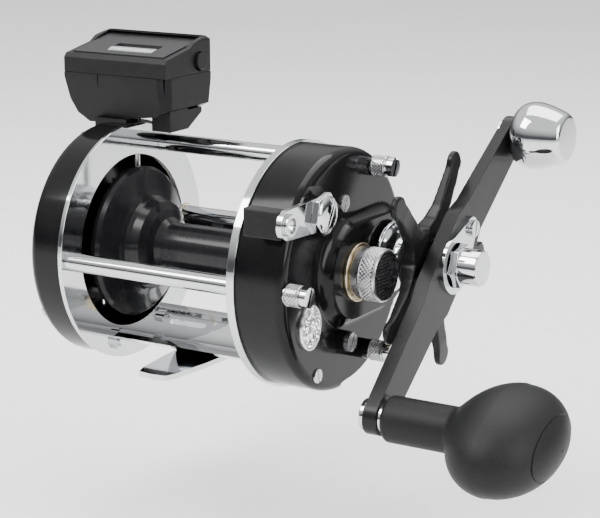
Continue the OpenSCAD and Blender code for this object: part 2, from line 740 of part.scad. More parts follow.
module grip_spindle() color("silver") lift() {
    rod(arm_x + grip_drop - 1.5, 1.5, 4.3, grip_y, grip_z);
    rod(arm_x + grip_drop - eps, 40, 2.05, grip_y, grip_z);
}

module grip_washer() color("silver") lift() tube(grip_x - 1.2, 1.1, 4.3, 2.05, grip_y, grip_z);

// Paddle grip: a round neck that swells into an egg, wider along Y than it is thick
module grip_form() {
    rod(grip_x, 28, 6.25, grip_y, grip_z);
    on_x(ball_x, grip_y, grip_z) rotate(grip_tilt) scale([20.7, 12.6, 14.5]) sphere(r = 1, $fn = 48);
}

module grip() color([0.13, 0.13, 0.13]) lift()
    difference() {
        grip_form();
        translate([ball_cut, grip_y - 40, grip_z - 40]) cube([20, 80, 80]);
        rod(arm_x, 43, 2.12, grip_y, grip_z);
    }

module grip_end_cap() color([0.11, 0.11, 0.11]) lift()
    difference() {
        intersection() {
            grip_form();
            translate([ball_cut + 0.05, grip_y - 40, grip_z - 40]) cube([20, 80, 80]);
        }
        rod(ball_cut + 1, 8, 0.5, grip_y, grip_z);
    }

// Controls -------------------------------------------------------------------------------------

module clutch_lever() color("gainsboro") lift() {
    difference() {
        on_x(lever_x - 0.8, lever_y, lever_z) linear_extrude(1.6) union() {
            circle(r = 4.6);
            translate([-lever_reach, 0]) circle(r = 3.9);
            polygon([[0, 4.6], [-lever_reach, 3.9], [-lever_reach, -3.9], [0, -4.6]]);
        }
        turned([[0, lever_x - 0.1], [1, lever_x], [2, lever_x + 0.9], [0, lever_x + 0.9]],
            lever_y - lever_reach, lever_z);
    }
    tube(lever_x + 0.6, 1.2, 2.9, 2, lever_y - lever_reach, lever_z);
    rod(cup_r + 2, lever_x - cup_r - 2, 1.24, lever_y, lever_z);
    on_x(cup_r + 2, lever_y, lever_z) linear_extrude(1.2)
        polygon([[0, 1.6], [-1.6, 0], [0, -1.6], [12, -5], [12.8, -3.4]]);
}

module thumb_pad() color([0.1, 0.1, 0.1]) lift()
    difference() {
        translate([34, lever_y - lever_reach - 2.9, lever_z - 3.7]) cube([lever_x - 0.8 - 34, 4.4, 7.4]);
        for (k = [0:6]) translate([33, lever_y - lever_reach - 2.9, lever_z - 3.2 + k]) rotate([45, 0, 0])
            translate([0, -0.2, -0.2]) cube([14, 0.4, 0.4]);
    }

module lever_pivot_bolt() color("gainsboro") lift()
    difference() {
        union() {
            on_x(lever_x + 0.8, lever_y, lever_z) rotate(15) cylinder(h = 1.9, r = 5.8, $fn = 6);
            turned([[0, lever_x + 2.6], [5, lever_x + 2.6], [4.6, lever_x + 3.1], [3.7, lever_x + 3.5],
                    [2.4, lever_x + 3.8], [0, lever_x + 3.9]], lever_y, lever_z);
        }
        on_x(lever_x + 3.1, lever_y, lever_z) rotate(60) translate([-7, -0.6, 0]) cube([14, 1.2, 2]);
    }

// Spool tension cap: screws down on the housing boss and bears on the shaft's end
module tension_cap() color("gainsboro") lift() {
    base = face_r + housing_h + 1;
    difference() {
        turned([[0, base - 1.6], [4.92, base - 1.6], [4.92, base], [6.7, base], [7, base + 0.4],
                [7, base + 2.4], [6.9, base + 2.6], [7.3, base + 2.9], [7.3, base + 7.4],
                [7, base + 7.8], [0, base + 7.8]]);
        rod(base - 4, 3.6, 3.4);
        rod(base + 7.2, 2, 6.2);
        for (k = [0:35]) on_x(base + 2.9) rotate(10 * k) translate([7.35, 0, 0])
            cylinder(h = 4.6, r = 0.22, $fn = 8);
    }
}

module clicker_button() color("dimgray") lift() {
    translate([face_l - 2.4, -3, -18]) cube([2.3, 6, 6]);
    translate([face_l - 0.3, -1.15, -16]) cube([3, 2.3, 4]);
    translate([face_l + 2, -2, -16]) cube([1, 4, 4]);
    translate([face_l + 2.5, -1, -16]) cube([ring_l - 0.2 - face_l - 2.5, 2, 1]);
    translate([ring_l - 1, -1, -16]) cube([0.8, 2, 4.4]);
}

// Line counter ---------------------------------------------------------------------------------

function top_z(y) = counter_top + (y - counter_y) * counter_rise / counter_w;

// Side view of the counter housing, in Y and Z, drawn in by a margin m
module counter_side(m = 0) {
    y0 = counter_y + m;
    y1 = counter_y + counter_w - m;
    polygon([[y0 + 1.4, counter_bottom - 6 + m], [y0, split_z - 2], [y0, top_z(y0) - m - 1],
             [y0 + 1, top_z(y0 + 1) - m], [y1 - 1, top_z(y1 - 1) - m], [y1, top_z(y1) - m - 1],
             [y1, split_z - 2], [y1 - 3, counter_bottom - 6 + m]]);
}

// Front view of the counter housing, in X and Z
module counter_front(m = 0) {
    x0 = counter_x + m;
    x1 = counter_end - m;
    polygon([[x0, 60], [x0, split_z - 1], [x0 + 1.6, 39.4], [x0 + 4, 35.4 + m], [x0 + 8, 33 + m],
             [-39.6 - m, 33 + m], [-39.6 - m, counter_bottom + m], [-27.4, counter_bottom + m],
             [x1 - 4, counter_bottom + 1 + m], [x1, counter_bottom + 3 + m], [x1, 60]]);
}

module counter_form(m = 0)
    intersection() {
        on_x(counter_x - 1) linear_extrude(counter_l + 2) counter_side(m);
        translate([0, 40, 0]) rotate([90, 0, 0]) linear_extrude(60) counter_front(m);
    }

module counter_base() color([0.12, 0.12, 0.13]) lift()
    difference() {
        union() {
            intersection() {
                counter_form();
                translate([-60, -10, 25]) cube([60, 50, split_z - 25]);
            }
            translate([counter_end - 7, 3.6, counter_bottom - 3.4]) cube([6.4, 9, 6]);
            on_x(counter_end - 7) linear_extrude(6.4)
                polygon([[12.5, counter_bottom - 3.4], [12.5, counter_bottom + 2],
                         [19.5, counter_bottom + 2], [19.5, counter_bottom + 0.6]]);
        }
        difference() {
            counter_form(wall);
            translate([drive_x - 2.6, drive_y - 2.6, counter_bottom]) cube([5.2, 5.2, 2.2]);
            for (x = [counter_x + 6, counter_end - 4]) translate([x, wheel_y - 3, counter_bottom])
                cube([1.4, 6, wheel_z - counter_bottom]);
            translate([drive_x - 4.2, lay_y - 1.5, counter_bottom]) cube([1.4, 3, lay_z - counter_bottom + 1.3]);
        }
        translate([drive_x, drive_y, 30]) cylinder(h = 10, r = 1.06);
        translate([counter_end + 0.6, counter_y, 30]) rotate([0, 0, 45])
            translate([-2.6, -2.6, 0]) cube([5.2, 5.2, 30]);
        translate([counter_x + counter_l / 3, counter_y - 0.4, 30]) cube([0.4, 0.6, 20]);
        rod(counter_x + 5, counter_l - 6, 0.95, wheel_y, wheel_z);
        rod(counter_end - 5, 4, 0.86, lay_y, lay_z);
        rod(drive_x - 4.4, 3, 0.86, lay_y, lay_z);
    }

// Raised rim round the front of the label plate
module counter_rim()
    difference() {
        on_x(counter_x) linear_extrude(counter_l)
            polygon([[13, top_z(13) - 1], [13, top_z(13)], [15.4, top_z(15.4) + 1],
                     [20, top_z(20) + 1.3], [22.4, top_z(22.4) + 1.1], [23.6, top_z(22)],
                     [23.6, top_z(20) - 1], [20, top_z(20) - 1]]);
        translate([counter_x + 1.6, counter_y, counter_top - 4]) cube([counter_l - 3.2, 21.4, 12]);
        for (s = [0, 1]) translate([counter_x + s * counter_l, 0, top_z(23) + 1.3]) rotate([0, 45, 0])
            translate([-0.9, 0, -0.9]) cube([1.8, 40, 1.8]);
    }

module counter_cover() color([0.13, 0.13, 0.14]) lift()
    difference() {
        union() {
            intersection() {
                counter_form();
                translate([-60, -10, split_z + 0.05]) cube([60, 50, 20]);
            }
            counter_rim();
        }
        difference() {
            counter_form(wall);
            translate([-60, -10, 0]) cube([60, 60, split_z - 2]);
        }
        translate([window_x, window_y, 48]) cube([window_l, window_w, 12]);
        rod(counter_end - 3, 5, 2.7, 18, 50.4);
    }

module counter_bezel() color([0.18, 0.18, 0.19]) lift()
    translate([0, 0, 0.02]) difference() {
        on_x(counter_x + 2) linear_extrude(counter_l - 4)
            polygon([[counter_y + 2, top_z(counter_y + 2)], [counter_y + 2, top_z(counter_y + 2) + 0.35],
                     [counter_y + counter_w - 2, top_z(counter_y + counter_w - 2) + 0.35],
                     [counter_y + counter_w - 2, top_z(counter_y + counter_w - 2)]]);
        translate([window_x, window_y, 48]) cube([window_l, window_w, 12]);
    }

module counter_window() color([0.9, 0.95, 1, 0.4]) lift()
    difference() {
        intersection() {
            translate([window_x + 0.05, window_y + 0.05, wheel_z])
                cube([window_l - 0.1, window_w - 0.1, 12]);
            rod(window_x, window_l, wheel_rad + 2.1, wheel_y - 0.6, wheel_z);
        }
        rod(window_x - 1, window_l + 2, wheel_rad + 0.6, wheel_y, wheel_z);
        translate([window_x - 1, window_y - 1, wheel_z - 1]) cube([window_l + 2, window_w + 2, 4.6]);
    }

module number_wheel(k)
    tube(wheels_x + k * (wheel_t + 0.35), wheel_t, wheel_rad, 0.95, wheel_y, wheel_z);

module units_wheel() color("white") lift() {
    number_wheel(2);
    gear(wheels_x + 3 * (wheel_t + 0.35), 1.2, 0.5, units_gear_teeth,
         atan2(lay_z - wheel_z, lay_y - wheel_y) + 180 / units_gear_teeth, 0.95, wheel_y, wheel_z);
    tube(wheels_x + 3 * wheel_t + 0.7 - eps, 0.35 + 2 * eps, 3, 0.95, wheel_y, wheel_z);
}

module tens_wheel() color("white") lift() number_wheel(1);

module hundreds_wheel() color("white") lift() number_wheel(0);

module counter_drive_shaft() color("silver") lift() translate([drive_x, drive_y, 0]) {
    translate([0, 0, -9.6]) cylinder(h = 49.8, r = 1);
    translate([0, 0, -1]) linear_extrude(2) difference() {
        circle(r = 1.5);
        for (k = [0:6]) rotate(360 / 7 * k) translate([1.5, 0]) circle(r = 0.25, $fn = 8);
    }
    translate([0, 0, lay_z - 1.4]) cylinder(h = 2.6, r = 2.4);
}

module counter_lay_shaft() color("silver") lift() {
    rod(drive_x - 3.8, counter_end - 2.2 - drive_x + 3.8, 0.8, lay_y, lay_z);
    tube(drive_x - 1, 2, 1.2, 0.8, lay_y, lay_z);
    gear(wheels_x + 3 * (wheel_t + 0.35), 1.2, 0.5, lay_pinion_teeth,
         atan2(wheel_z - lay_z, wheel_y - lay_y), 0.8, lay_y, lay_z);
}

module reset_button() color([0.05, 0.05, 0.05]) lift() {
    rod(counter_end - 2.6, 3.6, 2.5, 18, 50.4);
    rod(counter_end - 3.6, 1, 3.2, 18, 50.4);
}

left_frame_ring();
right_frame_ring();
frame_pillars();
reel_foot();
foot_rivets();
left_side_cup();
case_screws();
right_side_cup();
thumb_screws();
plate_screws();
badge();
level_wind_tube();
level_wind_bushes();
worm_shaft();
worm_gear();
idler_gear();
gear_axles();
line_guide();
guide_pawl();
spool();
spool_shaft();
spool_gear();
click_wheel();
brake_blocks();
bridge_plate();
ball_bearings();
pinion();
pinion_yoke();
main_gear();
drag_washers();
drive_shaft();
ratchet_wheel();
reverse_pawl();
thrust_collar();
star_drag();
handle_arm();
nut_retainer();
retainer_screw();
handle_nut();
counterweight_knob();
grip_spindle();
grip_washer();
grip();
grip_end_cap();
clutch_lever();
thumb_pad();
lever_pivot_bolt();
tension_cap();
cap_washer();
clicker_button();
counter_base();
counter_cover();
counter_bezel();
counter_window();
units_wheel();
tens_wheel();
hundreds_wheel();
counter_drive_shaft();
counter_lay_shaft();
reset_button();
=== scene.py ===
"""Looks of the trolling reel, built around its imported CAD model. Lengths are in metres, in the CAD frame."""

import json
import math

import bmesh
import bpy
from mathutils import Matrix, Vector, noise


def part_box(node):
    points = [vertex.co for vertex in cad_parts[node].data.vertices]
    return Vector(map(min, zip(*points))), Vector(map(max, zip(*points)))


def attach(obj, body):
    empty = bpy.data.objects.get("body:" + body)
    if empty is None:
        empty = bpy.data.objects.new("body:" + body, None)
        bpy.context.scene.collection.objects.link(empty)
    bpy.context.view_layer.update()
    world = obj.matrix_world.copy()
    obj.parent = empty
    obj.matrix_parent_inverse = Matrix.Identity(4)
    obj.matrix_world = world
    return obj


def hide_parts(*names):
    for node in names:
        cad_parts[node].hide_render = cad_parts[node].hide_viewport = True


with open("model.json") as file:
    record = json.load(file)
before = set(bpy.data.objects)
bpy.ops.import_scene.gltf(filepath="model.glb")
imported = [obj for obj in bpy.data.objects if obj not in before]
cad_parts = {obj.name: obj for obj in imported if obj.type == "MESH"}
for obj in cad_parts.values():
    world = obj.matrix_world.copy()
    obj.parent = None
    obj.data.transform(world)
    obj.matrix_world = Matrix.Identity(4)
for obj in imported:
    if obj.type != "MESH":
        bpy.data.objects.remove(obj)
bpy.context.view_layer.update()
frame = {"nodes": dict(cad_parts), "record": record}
NODES = frame["nodes"]
RECORD = frame["record"]
BODY = {n: b for b, ns in RECORD["behaviour"]["bodies"].items() for n in ns}
SLOT = {p["node"]: p["material_slot"] for p in RECORD["subparts"]}
MM = 0.001
AXIS_Z = 29.5 * MM


# Materials ------------------------------------------------------------------------------------

def make_mat(name, color, rough, metallic=0.0, vary=0.15, scale=180.0, rough_vary=0.06, bump=0.0,
             bump_scale=900.0, stretch=(1, 1, 1), **sockets):
    """A surface whose colour, roughness and fine relief all come from noise in object space."""
    mat = bpy.data.materials.new(name)
    mat.use_nodes = True
    nt = mat.node_tree
    bsdf = next(n for n in nt.nodes if n.type == "BSDF_PRINCIPLED")
    bsdf.inputs["Metallic"].default_value = metallic
    for key, value in sockets.items():
        bsdf.inputs[key.replace("_", " ")].default_value = value
    coord = nt.nodes.new("ShaderNodeTexCoord")
    mapping = nt.nodes.new("ShaderNodeMapping")
    mapping.inputs["Scale"].default_value = stretch
    nt.links.new(coord.outputs["Object"], mapping.inputs["Vector"])
    mottle = nt.nodes.new("ShaderNodeTexNoise")
    mottle.inputs["Scale"].default_value = scale
    mottle.inputs["Detail"].default_value = 4.0
    nt.links.new(mapping.outputs["Vector"], mottle.inputs["Vector"])
    ramp = nt.nodes.new("ShaderNodeValToRGB")
    lo = [c * (1 - vary) for c in color] + [1]
    hi = [min(1, c * (1 + vary)) for c in color] + [1]
    ramp.color_ramp.elements[0].color = lo
    ramp.color_ramp.elements[0].position = 0.3
    ramp.color_ramp.elements[1].color = hi
    ramp.color_ramp.elements[1].position = 0.7
    nt.links.new(mottle.outputs["Fac"], ramp.inputs["Fac"])
    nt.links.new(ramp.outputs["Color"], bsdf.inputs["Base Color"])
    span = nt.nodes.new("ShaderNodeMapRange")
    span.inputs["To Min"].default_value = max(0.02, rough - rough_vary)
    span.inputs["To Max"].default_value = rough + rough_vary
    nt.links.new(mottle.outputs["Fac"], span.inputs["Value"])
    nt.links.new(span.outputs["Result"], bsdf.inputs["Roughness"])
    if bump:
        fine = nt.nodes.new("ShaderNodeTexNoise")
        fine.inputs["Scale"].default_value = bump_scale
        fine.inputs["Detail"].default_value = 3.0
        nt.links.new(mapping.outputs["Vector"], fine.inputs["Vector"])
        relief = nt.nodes.new("ShaderNodeBump")
        relief.inputs["Strength"].default_value = bump
        relief.inputs["Distance"].default_value = 0.0001
        nt.links.new(fine.outputs["Fac"], relief.inputs["Height"])
        nt.links.new(relief.outputs["Normal"], bsdf.inputs["Normal"])
    return mat


MATS = {
    "black_gloss": make_mat("black_gloss", (0.005, 0.005, 0.0054), 0.13, vary=0.25, scale=90, rough_vary=0.03,
                            bump=0.03, bump_scale=350, Specular_IOR_Level=0.17),
    "chrome": make_mat("chrome", (0.60, 0.61, 0.62), 0.07, 1.0, vary=0.03, scale=150, rough_vary=0.03,
                       bump=0.02, bump_scale=500),
    "knurled": make_mat("knurled", (0.42, 0.42, 0.43), 0.28, 1.0, vary=0.1, scale=600, bump=0.05),
    "steel": make_mat("steel", (0.52, 0.52, 0.53), 0.27, 1.0, vary=0.06, scale=500, rough_vary=0.08,
                      bump=0.1, bump_scale=1500, stretch=(0.2, 1, 1)),
    "brass": make_mat("brass", (0.74, 0.63, 0.42), 0.22, 1.0, vary=0.08, scale=300, bump=0.05),
    "satin_black": make_mat("satin_black", (0.007, 0.007, 0.0074), 0.30, vary=0.2, scale=200, bump=0.10,
                            bump_scale=2500, Specular_IOR_Level=0.17),
    "anodised_spool": make_mat("anodised_spool", (0.010, 0.010, 0.011), 0.17, 0.2, vary=0.25, scale=400,
                               bump=0.04, stretch=(3, 0.6, 0.6), Specular_IOR_Level=0.24),
    "counter_plastic": make_mat("counter_plastic", (0.008, 0.008, 0.0086), 0.42, vary=0.2, scale=250,
                                bump=0.25, bump_scale=3500, Specular_IOR_Level=0.17),
    "counter_plate": make_mat("counter_plate", (0.016, 0.016, 0.0172), 0.36, vary=0.12, scale=300,
                              bump=0.12, bump_scale=3000, Specular_IOR_Level=0.2),
    "lens": make_mat("lens", (0.93, 0.95, 0.96), 0.06, vary=0.02, scale=120, rough_vary=0.02,
                     Transmission_Weight=0.85, IOR=1.46),
    "white_plastic": make_mat("white_plastic", (0.84, 0.83, 0.80), 0.32, vary=0.03, scale=300, bump=0.04),
    "nylon": make_mat("nylon", (0.80, 0.77, 0.69), 0.45, vary=0.05, scale=300, bump=0.06),
    "grip_rubber": make_mat("grip_rubber", (0.008, 0.008, 0.0084), 0.52, vary=0.35, scale=2600, bump=0.3,
                            bump_scale=4200, rough_vary=0.08, Specular_IOR_Level=0.18),
    "pad_rubber": make_mat("pad_rubber", (0.007, 0.007, 0.0075), 0.48, vary=0.25, scale=1500, bump=0.2,
                           bump_scale=3000, Specular_IOR_Level=0.25),
    "brake_fibre": make_mat("brake_fibre", (0.26, 0.13, 0.06), 0.75, vary=0.3, scale=900, bump=0.4),
    "hammered": make_mat("hammered", (0.74, 0.74, 0.73), 0.22, 1.0, vary=0.2, scale=1200, bump=0.3,
                         bump_scale=1400),
    "digit_ink": make_mat("digit_ink", (0.02, 0.02, 0.02), 0.5, vary=0.2, scale=900),
}

for node, obj in NODES.items():
    for s in obj.material_slots:
        s.material = MATS[SLOT[node]]


# Shaping helpers ------------------------------------------------------------------------------

def place(obj, node, mat=None, stands_for=()):
    """Links a new piece to the body and the material slot of a CAD node."""
    obj.data.materials.clear()
    obj.data.materials.append(mat or MATS[SLOT[node]])
    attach(obj, BODY[node])
    if stands_for:
        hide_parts(*stands_for)
    return obj


def link_mesh(name, bm, smooth=None):
    """Turns a bmesh into an object in the scene."""
    me = bpy.data.meshes.new(name)
    bm.to_mesh(me)
    bm.free()
    if smooth:
        finish_shading(me, smooth)
    obj = bpy.data.objects.new(name, me)
    bpy.context.scene.collection.objects.link(obj)
    return obj


def ring_faces(rings, n):
    """Faces of a closed skin over rings of n points each."""
    faces = []
    for j in range(rings - 1):
        for i in range(n):
            k = (i + 1) % n
            faces.append((j * n + i, j * n + k, (j + 1) * n + k, (j + 1) * n + i))
    faces.append(tuple(range(n))[::-1])
    faces.append(tuple(range((rings - 1) * n, rings * n)))
    return faces


def mesh_object(name, verts, faces, smooth=35):
    me = bpy.data.meshes.new(name)
    me.from_pydata([Vector(v) for v in verts], [], faces)
    me.validate()
    obj = bpy.data.objects.new(name, me)
    bpy.context.scene.collection.objects.link(obj)
    bm = bmesh.new()
    bm.from_mesh(me)
    bmesh.ops.recalc_face_normals(bm, faces=bm.faces)
    bm.to_mesh(me)
    bm.free()
    finish_shading(me, smooth)
    return obj


def finish_shading(me, smooth):
    for name in ("custom_normal", "sharp_face", "sharp_edge"):
        if name in me.attributes:
            me.attributes.remove(me.attributes[name])
    me.shade_smooth()
    me.set_sharp_from_angle(angle=math.radians(smooth))


def refine(node, width=0.0, smooth=38, voxel=0.0, rounds=0):
    """A finished copy of a CAD node: its edges bevelled, or remeshed and smoothed like a moulding.

    width and voxel are in millimetres; smooth is the angle past which an edge stays sharp.
    """
    me = NODES[node].data.copy()
    bm = bmesh.new()
    bm.from_mesh(me)
    bmesh.ops.remove_doubles(bm, verts=bm.verts, dist=2e-6)
    if not voxel:
        bmesh.ops.dissolve_limit(bm, angle_limit=math.radians(0.7), verts=bm.verts, edges=bm.edges)
    bm.to_mesh(me)
    bm.free()
    obj = bpy.data.objects.new(node + "_finish", me)
    bpy.context.scene.collection.objects.link(obj)
    if voxel:
        remesh = obj.modifiers.new("remesh", "REMESH")
        remesh.mode = "VOXEL"
        remesh.voxel_size = voxel * MM
        soften = obj.modifiers.new("soften", "SMOOTH")
        soften.factor = 0.5
        soften.iterations = rounds
    else:
        bevel = obj.modifiers.new("bevel", "BEVEL")
        bevel.width = width * MM
        bevel.segments = 2
        bevel.limit_method = "ANGLE"
        bevel.angle_limit = math.radians(34)
        bevel.use_clamp_overlap = True
        finish_shading(me, smooth)
        level = obj.modifiers.new("level", "WEIGHTED_NORMAL")
        level.weight = 90
        level.keep_sharp = True
    view = bpy.context.evaluated_depsgraph_get()
    done = bpy.data.meshes.new_from_object(obj.evaluated_get(view))
    obj.modifiers.clear()
    obj.data = done
    if voxel:
        finish_shading(done, smooth)
    return place(obj, node, stands_for=(node,))


def turned(name, rows, y, z, around=96, knurl=None):
    """A body turned about X from rows of (x, r) in millimetres. knurl is (x0, x1, diamonds, depth)."""
    full = []
    for (xa, ra), (xb, rb) in zip(rows, rows[1:]):
        steps = 1
        if knurl and abs(xa - knurl[0]) < 1e-6 and abs(xb - knurl[1]) < 1e-6:
            steps = max(8, round((xb - xa) / (2 * math.pi * ra / knurl[2]) * 4))
        full += [(xa + (xb - xa) * k / steps, ra + (rb - ra) * k / steps, steps > 1)
                 for k in range(steps)]
    full.append((*rows[-1], False))
    n = knurl[2] * 4 if knurl else around
    verts = []
    for x, r, cut in full:
        for i in range(n):
            a = 2 * math.pi * i / n
            rr = r
            if cut and knurl[0] < x < knurl[1]:
                u = a * knurl[2] / (2 * math.pi)
                v = (x - knurl[0]) / (2 * math.pi * r / knurl[2])
                wave = [1 - abs(2 * (t % 1) - 1) for t in (u + v, u - v)]
                rr = r - knurl[3] + knurl[3] * min(1, 1.7 * min(wave))
            verts.append((x * MM, (y + rr * math.cos(a)) * MM, (z + rr * math.sin(a)) * MM))
    return mesh_object(name, verts, ring_faces(len(full), n))


def smooth_rows(rows, steps=6):
    """Catmull-Rom points through rows of (x, r)."""
    out = []
    for i in range(len(rows) - 1):
        p0, p1, p2, p3 = rows[max(0, i - 1)], rows[i], rows[i + 1], rows[min(len(rows) - 1, i + 2)]
        for k in range(steps):
            t = k / steps
            out.append(tuple(
                0.5 * (2 * b + (c - a) * t + (2 * a - 5 * b + 4 * c - d) * t * t
                       + (3 * b - a - 3 * c + d) * t ** 3)
                for a, b, c, d in zip(p0, p1, p2, p3)))
    out.append(rows[-1])
    return out


def block(bm, low, high):
    """Adds a box between two corners and returns its corners."""
    made = bmesh.ops.create_cube(bm, size=1)["verts"]
    size = [h - l for l, h in zip(low, high)]
    mid = [(h + l) / 2 for l, h in zip(low, high)]
    bmesh.ops.scale(bm, vec=size, verts=made)
    bmesh.ops.translate(bm, vec=mid, verts=made)
    return made


def centre(node):
    """The middle of a CAD node's box, in millimetres."""
    lo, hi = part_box(node)
    return (lo + hi) / 2 / MM


# Finished copies of the CAD pieces ------------------------------------------------------------

for node, width in {
    "left_side_cup": 0.25, "right_side_cup": 0.2, "left_frame_ring": 0.25, "right_frame_ring": 0.4,
    "reel_foot": 0.3, "counter_base": 0.6, "counter_cover": 0.55, "handle_arm": 0.75,
    "nut_retainer": 0.2, "clutch_lever": 0.3, "lever_pivot_bolt": 0.35, "case_screws": 0.2,
    "plate_screws": 0.15, "retainer_screw": 0.2, "clicker_button": 0.25,
    "handle_nut": 0.25, "counter_bezel": 0.08, "cap_washer": 0.15, "grip_washer": 0.15,
    "grip_spindle": 0.3, "frame_pillars": 0.15, "reset_button": 0.2,
}.items():
    refine(node, width)
refine("star_drag", voxel=0.32, rounds=8, smooth=60)

# Counterweight: a smooth barrel with a flat end
wy, wz = centre("counterweight_knob").yz
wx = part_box("counterweight_knob")[1].x / MM
weight_rows = smooth_rows([(wx - 15.5, 5.2), (wx - 14.6, 7.4), (wx - 12.9, 8.9), (wx - 10.9, 9.5),
                           (wx - 9, 9.6), (wx - 6.4, 9.1), (wx - 3.5, 8.2), (wx - 1.4, 7.35),
                           (wx - 0.5, 6.75), (wx - 0.08, 6.1), (wx, 5.7)])
turned_weight = turned("counterweight_barrel", weight_rows, wy, wz, 128)
place(turned_weight, "counterweight_knob", stands_for=("counterweight_knob",))
stem = turned("counterweight_stem", [(wx - 20, 3.8), (wx - 18.4, 3.8), (wx - 18.4, 2.4), (wx - 15.4, 2.4)],
              wy, wz, 48)
place(stem, "counterweight_knob")

# Thrust collar: a smooth flange that steps down to the star's seat
sy, sz = centre("drive_shaft").yz
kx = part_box("thrust_collar")[1].x / MM - 5.2
collar = turned("thrust_collar_body", smooth_rows([
    (kx, 3.1), (kx, 9.5), (kx + 0.25, 9.85), (kx + 0.8, 9.85), (kx + 1.1, 9.4), (kx + 2, 8.3),
    (kx + 2.3, 6.9), (kx + 2.7, 6.0), (kx + 3.3, 5.6), (kx + 5.2, 5.4)], 5) + [(kx + 5.2, 3.1)], sy, sz, 128)
place(collar, "thrust_collar", stands_for=("thrust_collar",))

# Medallion: a plain oval rim round a hammered field
lo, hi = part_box("badge")
by, bz = centre("badge").yz
half_y, half_z = (hi.y - lo.y) / 2 / MM, (hi.z - lo.z) / 2 / MM
around, steps = 128, 30
field = 0.88
dent_size, dent_depth, field_rise, top_rise = 1.15, 0.75, 1.05, 1.45
rings = [(1.0, 0.0), (1.0, 0.9), (0.98, 1.05), (0.91, 1.05), (field, 0.8)]
rings += [(field * (1 - k / steps), None) for k in range(1, steps)]
verts = []
for reach, rise in rings:
    for i in range(around):
        a = 2 * math.pi * i / around
        y, z = half_y * reach * math.cos(a), half_z * reach * math.sin(a)
        dent = dent_depth * noise.noise(Vector((y, z, 3.7)) * dent_size)
        x = rise if rise is not None else min(top_rise, field_rise + dent)
        verts.append((lo.x + x * MM, (by + y) * MM, (bz + z) * MM))
medallion = mesh_object("badge_hammered", verts, ring_faces(len(rings), around), 50)
place(medallion, "badge", MATS["hammered"], ("badge",))


# Grip: a round neck that flows into an egg, with a separate end cap
def grip_loft(name, x0, x1, node, shrink=0.0, lip=0.25):
    """One piece of the grip from x0 to x1: shrink pulls its skin in, lip rounds its two ends."""
    gy, gz = centre("grip_spindle").yz
    tilt = math.radians(10)
    neck = 6.2
    egg_x = 101.0
    ax, ay, az = 14.5, 20.6, 12.5
    blend = 3.6
    count, n = 72, 96
    stations = [x0 + (x1 - x0) * (1 - math.cos(math.pi * k / count)) / 2 for k in range(count + 1)]
    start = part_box("grip")[0].x / MM
    rows = []
    for x in stations:
        s = max(0.0, 1 - ((x - egg_x) / ax) ** 2) ** 0.5
        core = neck
        if x - start < 1.2:
            core *= ((x - start) / 1.2) ** 0.5 * 0.25 + 0.75
        both = [((h ** blend + core ** blend) ** (1 / blend) if x < egg_x else h)
                for h in (ay * s, az * s)]
        rows.append((x, both[0] - shrink, both[1] - shrink))
    first, last = rows[0], rows[-1]
    rows = [(first[0], max(0.3, first[1] - lip), max(0.3, first[2] - lip))] + \
        [(first[0] + (0.12 if last[0] > first[0] else 0), first[1], first[2])] + rows[2:-2] + \
        [(last[0] - 0.12, last[1], last[2]),
         (last[0], max(0.02, last[1] - lip), max(0.02, last[2] - lip))]
    verts = []
    for x, a, b in rows:
        for i in range(n):
            t = 2 * math.pi * i / n
            u, v = a * math.cos(t), b * math.sin(t)
            verts.append((x * MM, (gy + u * math.cos(tilt) - v * math.sin(tilt)) * MM,
                          (gz + u * math.sin(tilt) + v * math.cos(tilt)) * MM))
    return place(mesh_object(name, verts, ring_faces(len(rows), n), 50), node, stands_for=(node,))


grip_loft("grip_body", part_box("grip")[0].x / MM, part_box("grip")[1].x / MM, "grip")
grip_loft("grip_cap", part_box("grip_end_cap")[0].x / MM + 0.05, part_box("grip_end_cap")[1].x / MM,
          "grip_end_cap", shrink=0.12)

# Tension cap: diamond knurl, rimmed recess and straight ribs
cx0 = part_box("tension_cap")[1].x / MM - 7.8
cap = turned("tension_cap_body", [
    (cx0 - 1.6, 3.5), (cx0 - 1.6, 4.9), (cx0, 4.9), (cx0, 6.7), (cx0 + 0.35, 7.0), (cx0 + 2.3, 7.0),
    (cx0 + 2.5, 6.7), (cx0 + 2.7, 6.7), (cx0 + 2.9, 7.25), (cx0 + 7.1, 7.25), (cx0 + 7.45, 7.1),
    (cx0 + 7.75, 6.8), (cx0 + 7.8, 6.5), (cx0 + 7.7, 6.15), (cx0 + 6.6, 6.1)],
    0, AXIS_Z / MM, knurl=(cx0 + 2.9, cx0 + 7.1, 40, 0.42))
place(cap, "tension_cap", MATS["knurled"], ("tension_cap",))
bm = bmesh.new()
rib_pitch = 0.92
for k in range(-6, 7):
    h = k * rib_pitch
    reach = math.sqrt(6.1 ** 2 - (abs(h) + 0.3) ** 2) - 0.05
    block(bm, ((cx0 + 6.9) * MM, -reach * MM, AXIS_Z + (h - 0.26) * MM),
          ((cx0 + 7.65) * MM, reach * MM, AXIS_Z + (h + 0.26) * MM))
place(link_mesh("tension_cap_ribs", bm), "tension_cap", MATS["knurled"])

# Thumb screws: a diamond-knurled sleeve over each head
THUMB_PLACES = ((-30.4, 0, 0), (15.2, 26.327, 0), (5.3, -22.8, 5.1))  # y, z, height of its boss
face_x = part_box("badge")[0].x / MM
for i, (py, pz, boss) in enumerate(THUMB_PLACES):
    x0 = face_x + boss
    sleeve = turned(f"thumb_screw_knurl_{i + 1}", [
        (x0 + 0.1, 2.3), (x0 + 0.1, 2.7), (x0 + 0.5, 2.95), (x0 + 4.0, 2.95), (x0 + 4.38, 2.7),
        (x0 + 4.38, 2.35)], py, pz + AXIS_Z / MM, knurl=(x0 + 0.5, x0 + 4.0, 20, 0.3))
    place(sleeve, "thumb_screws", MATS["knurled"])

